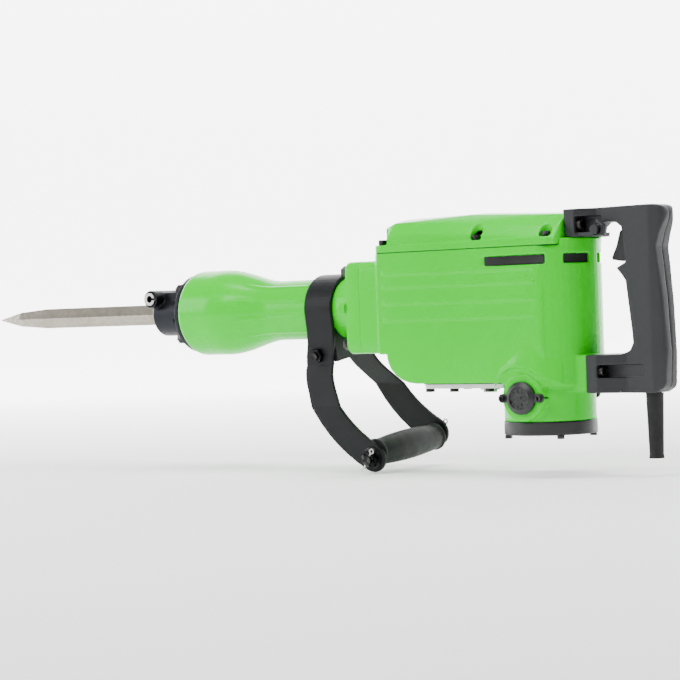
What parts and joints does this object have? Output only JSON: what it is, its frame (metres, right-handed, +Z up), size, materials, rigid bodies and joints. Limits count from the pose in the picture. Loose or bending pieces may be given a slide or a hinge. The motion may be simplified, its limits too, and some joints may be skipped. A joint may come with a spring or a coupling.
{
  "type": "demolition hammer",
  "caption": "Electric demolition hammer with a hexagonal chisel, swinging side handle, rear D-handle, vertical motor and crank-driven impact train.",
  "frame": {"origin": "mouth of the tool socket, on the tool axis", "axes": "+X to the rear along the tool axis, +Z up, away from the motor; -X is the way the chisel points"},
  "size_m": [1.046, 0.1768, 0.299],
  "materials": {
    "chisel_steel": "forged, dull",
    "charcoal_cast": "dark phosphate",
    "black_steel": "black oxide",
    "machined_steel": "machined",
    "zinc_steel": "zinc plated",
    "green_paint": "die casting with gloss green enamel",
    "rubber": "smooth",
    "aluminium": "machined",
    "black_paint": "satin powder coat",
    "brass_plate": "yellow zinc plate",
    "grip_rubber": "matte moulded",
    "plate_metal": "cast, satin",
    "copper": "turned copper",
    "black_plastic": "moulded",
    "carbon": "pressed carbon",
    "handle_plastic": "fine moulded grain",
    "trigger_plastic": "satin"
  },
  "bodies": {
    "body": {"front_cap": "charcoal_cast", "front_cap_bolts": "black_steel", "tool_bush": "machined_steel", "barrel": "green_paint", "barrel_nuts": "black_steel", "damper_ring": "rubber", "anvil_bush": "machined_steel", "cylinder_sleeve": "machined_steel", "main_housing": "green_paint", "bottom_gasket": "rubber", "bottom_plate": "plate_metal", "bottom_bolts": "black_steel", "oil_plug": "zinc_steel", "crank_bearings": "machined_steel", "lay_bearings": "machined_steel", "top_cover": "green_paint", "cover_gasket": "rubber", "cover_bolts": "black_steel", "armature_bearings": "machined_steel", "stator": "machined_steel", "field_coils": "copper", "brush_holders": "copper", "carbon_brushes": "carbon", "brush_caps": "black_plastic", "brush_cap_screws": "zinc_steel", "tail_cover": "black_plastic", "tail_cover_bolts": "black_steel", "handle_left": "handle_plastic", "handle_right": "handle_plastic", "handle_screws": "zinc_steel", "handle_bolts": "black_steel", "trigger_spring": "zinc_steel", "switch_body": "black_plastic", "cord_guard": "rubber", "cable_clamp": "black_plastic"},
    "tool": {"chisel": "chisel_steel"},
    "retainer": {"retainer_pin": "machined_steel", "retainer_clip": "zinc_steel"},
    "anvil": {"anvil": "machined_steel"},
    "striker": {"striker": "machined_steel", "striker_ring": "rubber"},
    "piston": {"piston": "aluminium", "piston_ring": "rubber", "wrist_pin": "machined_steel"},
    "rod": {"connecting_rod": "machined_steel"},
    "crank": {"crankshaft": "machined_steel", "crank_gear": "machined_steel"},
    "lay": {"lay_shaft": "machined_steel"},
    "rotor": {"armature": "machined_steel", "commutator": "copper", "fan": "black_plastic"},
    "side_handle": {"handle_strap": "black_paint", "clamp_saddle": "black_paint", "clamp_bolts": "black_steel", "grip_rod": "brass_plate", "side_grip": "grip_rubber", "grip_nuts": "black_steel", "split_pins": "zinc_steel"},
    "trigger": {"trigger": "trigger_plastic"},
    "lock": {"lock_button": "black_plastic"}
  },
  "joints": [
    {"name": "tool_slide", "type": "slide", "parent": "body", "child": "tool", "axis": [-1, 0, 0], "range_m": [0, 0.018]},
    {"name": "anvil_slide", "type": "slide", "parent": "body", "child": "anvil", "axis": [-1, 0, 0], "range_m": [0, 0.0119]},
    {"name": "striker_slide", "type": "slide", "parent": "body", "child": "striker", "axis": [1, 0, 0], "range_m": [-0.0095, 0.06]},
    {"name": "piston_slide", "type": "slide", "parent": "body", "child": "piston", "axis": [1, 0, 0], "range_m": [0, 0.048]},
    {"name": "rod_swing", "type": "hinge", "parent": "piston", "child": "rod", "pos_m": [0.365, 0, 0], "axis": [0, 0, 1], "range_deg": [-13.9, 13.9]},
    {"name": "crank_spin", "type": "hinge", "parent": "body", "child": "crank", "pos_m": [0.489, 0, 0], "axis": [0, 0, 1], "continuous": true},
    {"name": "lay_spin", "type": "hinge", "parent": "body", "child": "lay", "pos_m": [0.543, 0, 0], "axis": [0, 0, 1], "continuous": true},
    {"name": "armature_spin", "type": "hinge", "parent": "body", "child": "rotor", "pos_m": [0.585, 0, 0], "axis": [0, 0, 1], "continuous": true},
    {"name": "retainer_turn", "type": "hinge", "parent": "body", "child": "retainer", "pos_m": [0.01, 0, 0.02], "axis": [0, 1, 0], "range_deg": [0, 180]},
    {"name": "side_handle_swing", "type": "hinge", "parent": "body", "child": "side_handle", "pos_m": [0.285, 0, 0], "axis": [1, 0, 0], "continuous": true},
    {"name": "trigger_press", "type": "hinge", "parent": "body", "child": "trigger", "pos_m": [0.705, 0, 0.076], "axis": [0, -1, 0], "range_deg": [0, 9], "stiffness_Nm_per_rad": 2, "springref_deg": -5.73},
    {"name": "lock_press", "type": "slide", "parent": "body", "child": "lock", "axis": [0, 1, 0], "range_m": [0, 0.003], "stiffness_N_per_m": 400, "springref_m": -0.002}
  ],
  "couplings": [
    {"joint": "anvil_slide", "follows": "tool_slide", "ratio": 0.66},
    {"joint": "lay_spin", "follows": "armature_spin", "ratio": -0.19149},
    {"joint": "crank_spin", "follows": "armature_spin", "ratio": 0.054711}
  ]
}
